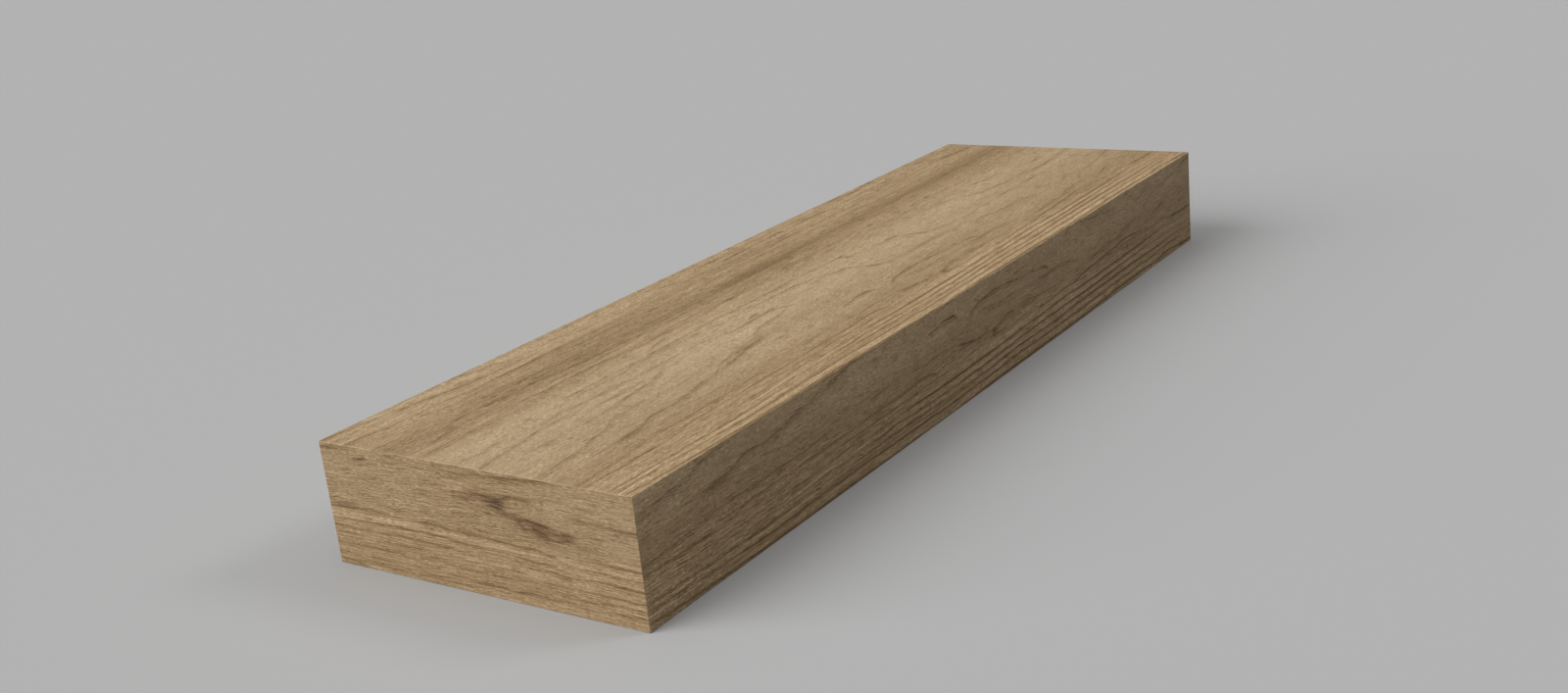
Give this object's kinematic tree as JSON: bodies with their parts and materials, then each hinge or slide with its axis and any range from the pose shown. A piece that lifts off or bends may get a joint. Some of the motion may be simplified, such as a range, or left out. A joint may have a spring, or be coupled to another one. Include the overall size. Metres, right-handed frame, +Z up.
{
  "type": "cantilever stair tread",
  "caption": "Rectangular oak stair tread with crisp eased edges and blind sockets in its wall end that slide over hidden steel bars, so that it stands out from a wall.",
  "frame": {"origin": "middle of the underside, where the tread lies on the floor", "axes": "+X across the going, +Y along the length from the free end to the wall end, +Z up to the walking surface"},
  "size_m": [0.3, 1, 0.1],
  "materials": {
    "oak": "matt oiled oak, flat-sawn grain"
  },
  "bodies": {
    "root": {"tread": "oak"}
  },
  "joints": []
}
